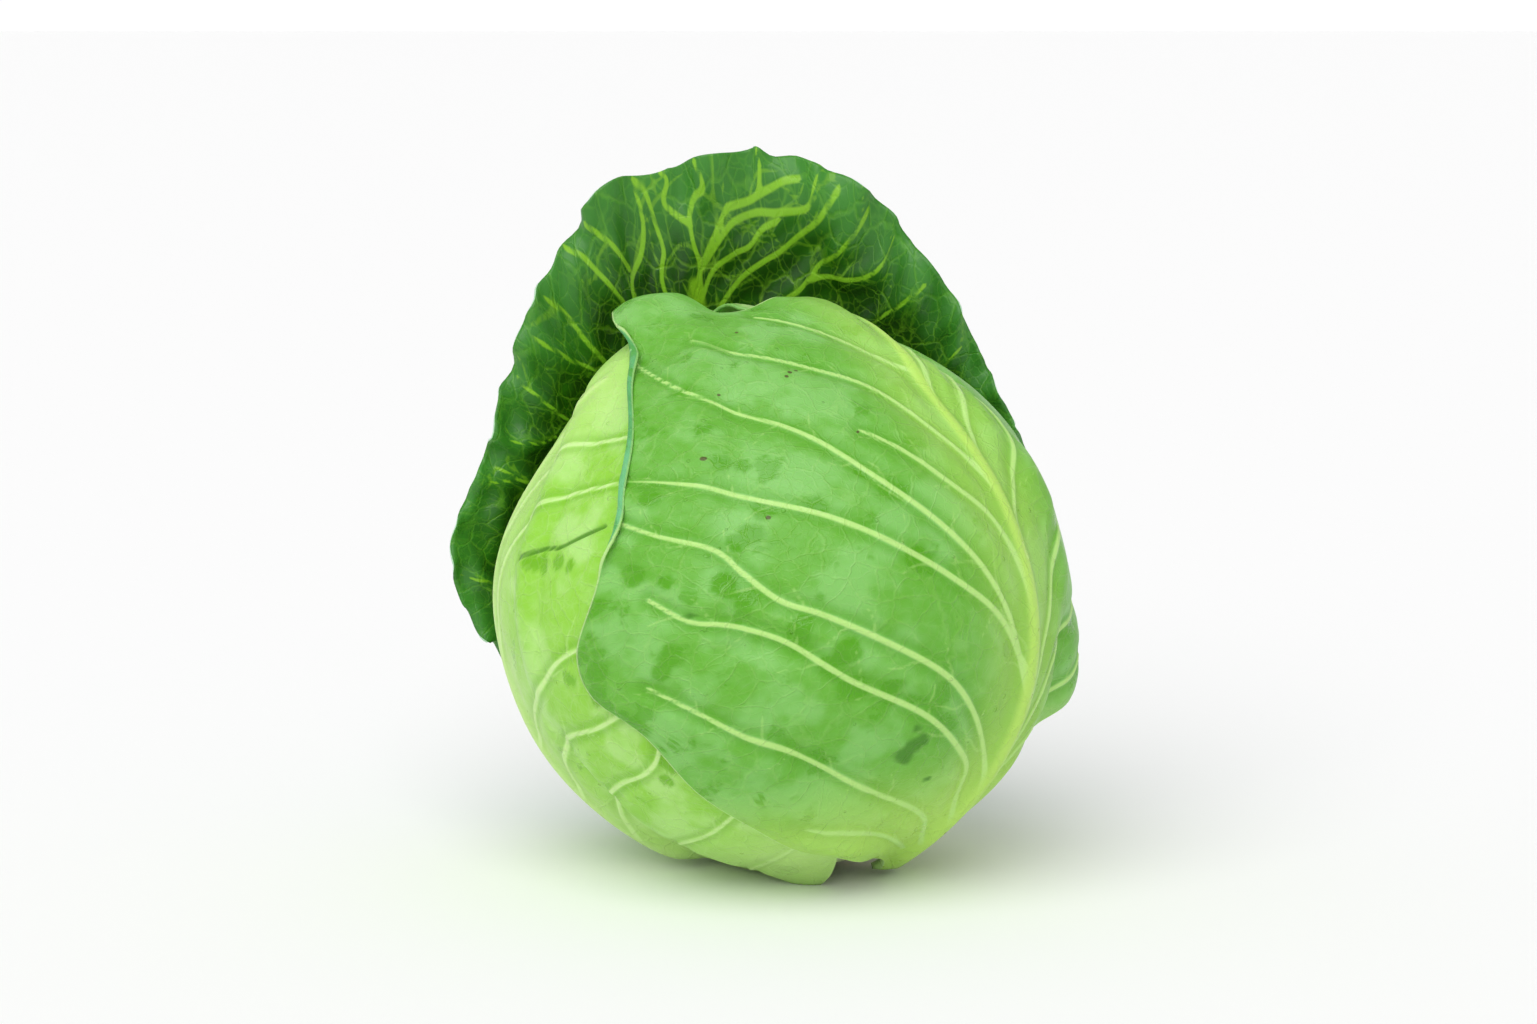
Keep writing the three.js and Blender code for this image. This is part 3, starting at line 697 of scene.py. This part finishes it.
# Rear wrappers: two broad leaves that close the back of the head. They are sound and waxy, and a little
# darker at the rim. The right one lies over the left one.
wrapper_skin = leaf_skin(
    "rear wrapper leaf", blade="#86C255", bloom="#9FD285", wet_and_flank_shade="#83BE3A", vein="#CFEBAA", rib="#D5E8AE",
    edge="#7DBB5C", drops=0.05,
)
rear_left = Leaf(-134, rib=(3.4, 0.6, 9, 2.2), **round_leaf(104, 124))
veins = row_veins(rear_left)
make_leaf(
    "leaf_rear_left", rear_left, [wrapper_skin], across=130, along=150, veins=veins,
    twigs=twigs_of(veins, seed=2, spacing=17, length=16), seed=12,
)
rear_right = Leaf(142, rib=(3.4, 0.6, 9, 2.2), **round_leaf(108, 120))
veins = row_veins(rear_right)
make_leaf(
    "leaf_rear_right", rear_right, [wrapper_skin], across=140, along=150, veins=veins,
    twigs=twigs_of(veins, seed=3, spacing=17, length=16), seed=13,
)

# Left leaf: a pale wrapper whose midrib runs along the left outline. Its lower edge hangs away from the head
# in a torn lobe that touches the surface, and a crack runs across its right half.
left_leaf = Leaf(
    -86,
    rib=(4.2, 0.8, 9, 3),
    midrib=[(2, -129), (6, -110), (9, -80), (8, -40), (3, 0), (-2, 30), (1, 54), (10, 73), (18, 90)],
    left=[
        (-9, -131),
        (-22, -112),
        (-50, -85),
        (-78, -50),
        (-95, -10),
        (-98, 28),
        (-86, 66),
        (-58, 98),
        (-14, 118),
        (30, 116),
    ],
    right=[
        (14, -132),
        (34, -124),
        (58, -121),
        (80, -110),
        (95, -90),
        (104, -62),
        (108, -26),
        (106, 12),
        (98, 48),
        (82, 80),
        (58, 104),
        (30, 116),
    ],
    veins=PLAIN_VEINS,
    lift=lambda x, y: 4 * hill(np.hypot((x - 40) / 1.5, y + 126), 14)
    + 3 * hill(np.hypot(x - 5, (y - 36) / 2.3), 28),
)
LEFT_VEINS = [
    [(5, -8), (8, 12), (14, 30), (27, 44), (41, 52), (58, 58), (80, 66)],
    [(8, -34), (20, -22), (38, -10), (54, 0), (69, 5), (96, 10)],
    [(9, -56), (20, -42), (38, -28), (62, -23), (82, -16), (100, -12)],
    [(9, -78), (20, -64), (38, -51), (54, -45), (66, -43), (76, -38), (84, -28), (92, -16)],
    [(7, -98), (22, -86), (44, -76), (68, -73), (94, -64)],
    [(6, -112), (26, -104), (54, -100), (80, -96)],
    [(-2, 28), (8, 48), (26, 66), (50, 76), (74, 82)],
    [(7, -44), (-20, -30), (-52, -14), (-84, 4)],
    [(8, -74), (-18, -64), (-48, -54), (-76, -38)],
    [(6, -18), (-18, 0), (-48, 22), (-80, 42)],
    [(1, 8), (-18, 28), (-42, 52), (-70, 74)],
    [(-3, 40), (-14, 60), (-30, 84), (-40, 104)],
]
LEFT_VEIN_WIDE, LEFT_VEIN_THIN = 1.0, 0.8
veins = [(smooth_line(points, 40), LEFT_VEIN_WIDE, LEFT_VEIN_THIN) for points in LEFT_VEINS]
left_skin = leaf_skin(
    "pale wrapper leaf", blade="#8CCB38", bloom="#A9DB74", wet_and_flank_shade="#6CB008", vein="#C8EB98", rib="#C0E588",
    edge="#BFE58E", edge_width=1.8, wet_share=0.12, drops=0.08, net=0.2,
)
LEFT_CRACK = smooth_line([(31, 29), (41, 33.5), (50, 35), (56, 38), (67, 44)], 30)
# Clear patches, each by its place on the chart and its radius.
LEFT_CLEAR = [
    (38, 29, 3), (43, 29, 3.3), (51, 30, 2.8), (57, 30, 2), (22, -1, 1.6), (24, 3, 1.2), (79, -40, 3.4),
    (74, -46, 2.8), (83, -35, 2.6), (29, -32, 1.6), (31, -39, 1.2), (66, -13, 3), (56, -7, 2.6), (54, -106, 5),
]


def crack_groove(paper, rim):
    """A groove along the crack, with a low lip on its upper side."""
    away, _ = to_line(paper, LEFT_CRACK)
    return 0.5 * hill(away - 2.5, 1.5) * (paper[..., 1] > 25) - 1.0 * hill(away, 0.9)


make_leaf(
    "leaf_left", left_leaf, [left_skin], across=200, along=210, veins=veins,
    twigs=twigs_of(veins, seed=4, spacing=15, length=15), seed=14, ripple=crack_groove, sole=True,
    clear=LEFT_CLEAR, crack=LEFT_CRACK,
)

# Front leaf: the large leaf that covers the front, mid green under a bluish wax bloom. Its left margin is
# rolled outwards, its top left corner stands up like a collar, and wet patches show a clearer green.
ROLL_WIDTH, ROLL_TURN = 9, 230


def front_roll(row, side):
    """The left margin turns outwards in a narrow roll beside the upper half of the leaf."""
    window = smooth(3.0, 4.6, row) * smooth(6.8, 6.2, row) * (side < 0)
    return 0.2 + ROLL_WIDTH * window, ROLL_TURN * window


front_leaf = Leaf(
    53,
    rib=(4.6, 0.8, 8, 2.4),
    blade=1.7,
    vein_high=0.9,
    midrib=[
        (-12, -131),
        (-19, -118),
        (-19, -100),
        (-12, -80),
        (-4, -50),
        (0, -20),
        (1, 10),
        (5, 40),
        (16, 68),
        (32, 96),
    ],
    left=[
        (-21, -130),
        (-29, -118),
        (-37, -112),
        (-47, -107),
        (-60, -99),
        (-79, -91),
        (-95, -78),
        (-116, -57),
        (-132, -27),
        (-147, -6),
        (-147, 14),
        (-131, 38),
        (-119, 60),
        (-109, 79),
        (-92, 101),
        (-70, 125),
        (-47, 140),
        (-32, 147),
        (-18, 153),
        (-11, 146),
        (-9, 135),
        (-1, 124),
        (20, 115),
        (46, 124),
    ],
    right=[
        (-2, -131),
        (-9, -114),
        (-6, -99),
        (7, -89),
        (24, -74),
        (40, -60),
        (52, -47),
        (74, -30),
        (98, -2),
        (110, 38),
        (104, 74),
        (86, 104),
        (46, 124),
    ],
    veins=[
        (0, 0, 0, 0, 0),
        (0.12, 0.1, 0.1, 0, 0),
        (0.2, 0.36, 0.22, -3, 2),
        (0.245, 0.46, 0.32, 4, 3),
        (0.3, 0.52, 0.42, 2, 4),
        (0.39, 0.58, 0.55, 6, 5),
        (0.47, 0.72, 0.66, -10, 6),
        (0.62, 0.82, 0.77, -6, 5),
        (0.78, 0.89, 0.88, -4, 3),
        (1, 1, 1, 0, 0),
    ],
    lift=lambda x, y: 8 * hill(np.hypot(x + 22, y - 150), 18)
    + 1.5 * hill(np.hypot(x + 108, (y - 70) / 2.2), 14)
    + 5 * hill(np.hypot(x - 42, (y + 62) / 1.2), 15),
    curl=front_roll,
)
FRONT_VEINS = [
    [(1, 8), (-2, 27), (-5, 38), (-11, 63), (-23, 82), (-34, 102), (-37, 116)],
    [(-1, -28), (-3, -8), (-7, 7), (-16, 22), (-24, 38), (-30, 49)],
    [(-5, -48), (-9, -30), (-12, -20), (-18, -5), (-25, 9), (-34, 26), (-38, 35), (-46, 59), (-55, 77)]
    + [(-60, 91), (-60, 108), (-51, 134)],
    [(-6, -62), (-3, -48), (-9, -33), (-16, -20), (-28, -6), (-42, 10), (-57, 27), (-72, 42), (-85, 57)]
    + [(-102, 76)],
    [(-14, -88), (-15, -72), (-21, -59), (-28, -46), (-37, -33), (-57, -14), (-72, 0), (-81, 8), (-88, 22)]
    + [(-92, 32), (-104, 46), (-113, 61)],
    [(-19, -96), (-23, -78), (-24, -69), (-31, -59), (-44, -44), (-68, -24), (-85, -4), (-99, 7), (-107, 12)]
    + [(-116, 25)],
    [(-24, -104), (-33, -88), (-64, -65), (-84, -48), (-102, -32), (-113, -21), (-126, -8)],
    [(-28, -108), (-44, -95), (-62, -86), (-80, -78)],
    [(12, 60), (4, 80), (-2, 100), (-6, 112)],
    [(0, -20), (4, 2), (14, 15), (22, 25), (28, 44), (40, 66)],
    [(-3, -62), (3, -45), (6, -37), (11, -30), (20, -14), (28, -3), (40, 8), (66, 30)],
    [(-10, -84), (0, -66), (8, -54), (20, -40), (38, -34), (56, -28)],
    [(-14, -96), (-3, -78), (12, -66), (28, -58), (42, -50)],
    [(2, 24), (16, 42), (34, 66), (56, 90)],
    [(8, 48), (24, 70), (44, 96), (54, 108)],
]
FRONT_VEIN_WIDE, FRONT_VEIN_THIN = 1.1, 1.0
veins = [(smooth_line(points, 60), FRONT_VEIN_WIDE, FRONT_VEIN_THIN) for points in FRONT_VEINS]
# Clear patches, bruises and specks of dirt, each by its place on the chart and its radius. The last clear
# patches make the clear strip along the left margin.
FRONT_CLEAR = [
    (-141, 4, 5), (-138, 12, 3), (-139, 19, 2.4), (-141, -12, 2.6), (-137, -17, 2.6), (-115, 2, 4.6),
    (-119, -3, 3.6), (-80, 32, 4.6), (-73, 38, 4.2), (-86, 32, 3.4), (-94, 19, 4.6), (-90, 13, 3.6),
    (-99, 60, 3.6), (-117, 37, 4.6), (-78, -4, 5), (-68, -15, 4.3), (-68, -27, 5), (-73, -17, 3.4),
    (-55, -32, 3.7), (-108, 28, 2.6), (-59, 32, 3.1), (-127, -37, 2.4), (-122, -32, 2), (-96, -61, 2),
    (-40, 37, 2.6), (-39, 5, 3.6), (-15, -16, 3), (-13, -32, 3), (-71, 77, 3), (-77, 102, 3),
    (-75, 61, 3.6), (-70, 57, 3), (-92, 93, 2.4), (20, 84, 3), (24, 92, 3),
]
FRONT_CLEAR += [(x + 3, y, 4.2) for x, y in front_leaf.left[::10] if -26 < y < 34 and x < -115]
FRONT_BRUISE = [
    (-49, -52, 3.2), (-52, -55, 3), (-46, -51, 2.2), (-48, -46, 1.3), (-41, -67, 1.1), (-106, 14, 1.5),
]
FRONT_SPECKS = [
    (-30, 81, 0.8), (-27, 81, 0.7), (-32.5, 80, 0.7), (-31, 49, 0.5), (-78, 65, 0.9), (-55, 88, 0.5),
    (-73, 35, 0.8), (-23, 108, 0.6), (-18, -98, 0.7),
]


def front_dents(paper, rim):
    """The blade is pushed in under the sixth vein, beside the roll and behind the collar."""
    x, y = paper[..., 0], paper[..., 1]
    along_vein = (x + 97) * 0.87 - (y + 3) * 0.5
    across_vein = (x + 97) * 0.5 + (y + 3) * 0.87
    under_vein = 1.8 * hill(np.hypot(along_vein / 3.2, across_vein), 3.6)
    beside_roll = 1.6 * hill(np.hypot((x + 121) / 1.2, (y - 38) / 1.6), 7)
    behind_collar = 2.2 * hill(np.hypot(x + 48, y - 118), 10)
    return -under_vein - beside_roll - behind_collar


front_skin = leaf_skin(
    "waxy outer wrapper leaf", blade="#61A92C", bloom="#7CBC5C", wet_and_flank_shade="#509C08", vein="#B6E080", rib="#B2DC62",
    edge="#BFE592", edge_width=0.8, drops=0.16, wet_share=0.42, bloom_share=0.6, net=0.14,
    specks=FRONT_SPECKS, foot=-84, glow=0.46,
)
# Rolled leaf margin: the leaf's bluish underside, which the roll turns to the front.
roll_skin = leaf_skin(
    "rolled leaf margin", blade="#4D9E52", bloom="#66B478", wet_and_flank_shade="#4F9C22", vein="#A9DB90", rib="#C2E486",
    edge="#9CD27C", edge_width=0.9, bloom_share=0.7, net=0.2,
)
make_leaf(
    "leaf_front", front_leaf, [front_skin, roll_skin], across=210, along=215, veins=veins,
    twigs=twigs_of(veins, seed=5, spacing=13, length=15), seed=15, swell=1.4, ripple=front_dents,
    clear=FRONT_CLEAR, bruise=FRONT_BRUISE,
)

# Outer leaf: the oldest leaf, which has opened away from the head behind it. Dark green inside with bright
# veins, bluish with bloom outside, and its rim flares back in small waves.
FLARE_WIDTH, FLARE_TURN = 15, 72


def outer_flare(row, side):
    """The rim flares more and less in turn."""
    fold = 12 * np.sin(2.7 * math.tau * row) * smooth(7.9, 7.2, row)
    return FLARE_WIDTH, (FLARE_TURN + 16 * np.cos(math.tau * row) + fold) * smooth(1.5, 3.5, row)


outer_leaf = Leaf(
    190,
    rib=(5, 1, 9, 3),
    blade=1.8,
    vein_high=0.9,
    midrib=[(0, -129), (2, -90), (2, -40), (0, 10), (-3, 46), (-4, 80)],
    left=[
        (-6, -131),
        (-13, -114),
        (-42, -88),
        (-82, -60),
        (-104, -22),
        (-109, 8),
        (-101, 39),
        (-89, 64),
        (-73, 80),
        (-56, 91),
        (-34, 97),
        (-4, 100),
    ],
    right=[
        (6, -131),
        (13, -112),
        (46, -88),
        (66, -58),
        (88, -24),
        (106, 6),
        (103, 35),
        (83, 63),
        (65, 82),
        (46, 91),
        (24, 97),
        (-4, 100),
    ],
    veins=PLAIN_VEINS,
    lift=lambda x, y: 1.5
    + 47 * np.clip(y / 97, 0, 9) ** 3
    - 9.5 * hill(np.hypot((x - 50) / 1.4, y - 86), 28)
    + 7 * hill(np.hypot(x - 101, (y - 34) / 1.1), 22),
    curl=outer_flare,
)


def on_outer(stops):
    """A vein from stops that are each a row number and a signed share of the way to the margin."""
    row, u = np.array(stops, float).T
    line, _ = outer_leaf.row_points(row, np.where(u < 0, -1, 1), np.abs(u))
    return smooth_line(line, 40)


# The veins that the open face shows, each with its width: the end of the rib and its forks, then those of
# each side. A vein any narrower would look broken, because the grid is about as wide as it.
OUTER_VEINS = [
    ([(7.3, 0.05), (7.72, 0.11), (7.8, -0.35), (7.6, -0.68), (7.52, -0.8)], 1.12),
    ([(7.52, -0.8), (7.36, -0.84), (7.24, -0.87), (7.08, -0.91), (6.95, -0.94)], 0.72),
    ([(7.24, -0.87), (7.24, -0.95), (7.28, -0.99)], 0.72),
    ([(7.72, 0.08), (7.8, -0.42), (7.88, -0.52), (7.88, -0.66), (7.8, -0.8)]
     + [(7.72, -0.85), (7.76, -0.98)], 0.77),
    ([(7.88, -0.62), (7.92, 0.71), (7.88, 0.8), (7.96, 0.91), (7.92, 0.99)], 0.72),
    ([(7.2, 0.2), (7.4, 0.43), (7.48, 0.55), (7.6, 0.6), (7.68, 0.62)]
     + [(7.72, 0.7), (7.76, 0.86), (7.78, 0.97)], 0.72),
    ([(6.9, 0.4), (7.08, 0.61), (7.2, 0.69), (7.44, 0.71), (7.56, 0.75), (7.64, 0.81), (7.72, 0.98)], 0.72),
    ([(7.75, -0.42), (7.52, -0.7), (7.44, -0.76), (7.24, -0.82), (7.04, -0.84)]
     + [(6.83, -0.89), (6.85, -0.97)], 0.72),
    ([(7.75, -0.2), (7.6, -0.47), (7.36, -0.65), (7.24, -0.7), (7.16, -0.78), (7.04, -0.82)], 0.72),
    ([(7.65, -0.03), (7.48, -0.26), (7.32, -0.47), (7.2, -0.59), (7.04, -0.69)]
     + [(6.87, -0.78), (6.75, -0.86), (6.67, -0.97)], 0.77),
    ([(6.9, -0.4), (6.71, -0.61), (6.59, -0.7), (6.55, -0.78), (6.47, -0.88), (6.43, -0.97)], 0.77),
    ([(6.55, -0.72), (6.4, -0.78), (6.23, -0.84), (6.15, -0.91), (6.15, -0.97)], 0.72),
    ([(6.3, 0.4), (6.51, 0.7), (6.59, 0.81), (6.67, 0.89), (6.63, 0.97)], 1.26),
    ([(6.45, 0.62), (6.4, 0.78), (6.35, 0.89), (6.3, 0.97)], 0.72),
    ([(5.7, 0.5), (5.85, 0.75), (5.91, 0.85), (5.99, 0.97)], 0.98),
    ([(5.85, 0.72), (5.6, 0.86), (5.5, 0.96)], 0.72),
    ([(7.0, 0.6), (7.04, 0.8), (7.04, 0.9), (6.99, 0.99)], 0.72),
    ([(7.28, 0.73), (7.28, 0.83), (7.2, 0.96)], 0.72),
    ([(5.1, 0.6), (5.23, 0.85), (5.1, 0.97)], 0.77),
    ([(5.8, -0.5), (5.9, -0.78), (5.8, -0.96)], 0.77),
]
OUTER_VEIN_WIDE, OUTER_VEIN_THIN = 1.12, 0.64
for row in range(1, 6):
    for s in (-1, 1):
        stops = [(row, s * 0.02), (row + 0.1, s * 0.35), (row + 0.05, s * 0.65), (row + 0.25, s * 0.96)]
        OUTER_VEINS.append((stops, OUTER_VEIN_WIDE))
veins = [(on_outer(stops), wide, OUTER_VEIN_THIN) for stops, wide in OUTER_VEINS]


def rim_ripple(paper, rim):
    """Puckers that grow towards the rim."""
    return smooth(24, 1, rim) * (2.6 * waves(paper, 21, 31) + 1.1 * waves(paper, 9, 32))


under_skin = leaf_skin(
    "leaf underside with bloom", blade="#7ABB86", bloom="#94CAA4", wet_and_flank_shade="#66AC5C", vein="#C4E6B6",
    rib="#CBE6B8", edge="#B6DDB8", edge_width=1.0, bloom_share=0.9, wet_share=0.1, net=0.4,
)
# Dark open leaf: the face that had the most light, glossier than the rest, with a wide paler rim.
inside_skin = leaf_skin(
    "dark open leaf", blade="#153F00", bloom="#2A6A04", wet_and_flank_shade="#1E5800", vein="#84BC26", rib="#80B61C",
    edge="#489634", edge_width=19.0, bloom_share=0.4, wet_share=0.25, net=0.5, roughness=0.36, glow=0.0,
    edge_share=0.6,
)
make_leaf(
    "leaf_outer", outer_leaf, [under_skin, inside_skin], across=200, along=200, veins=veins,
    twigs=twigs_of(veins, seed=6, spacing=9, length=12), seed=16, swell=2.2, ripple=rim_ripple, vein_fade=0.0,
)
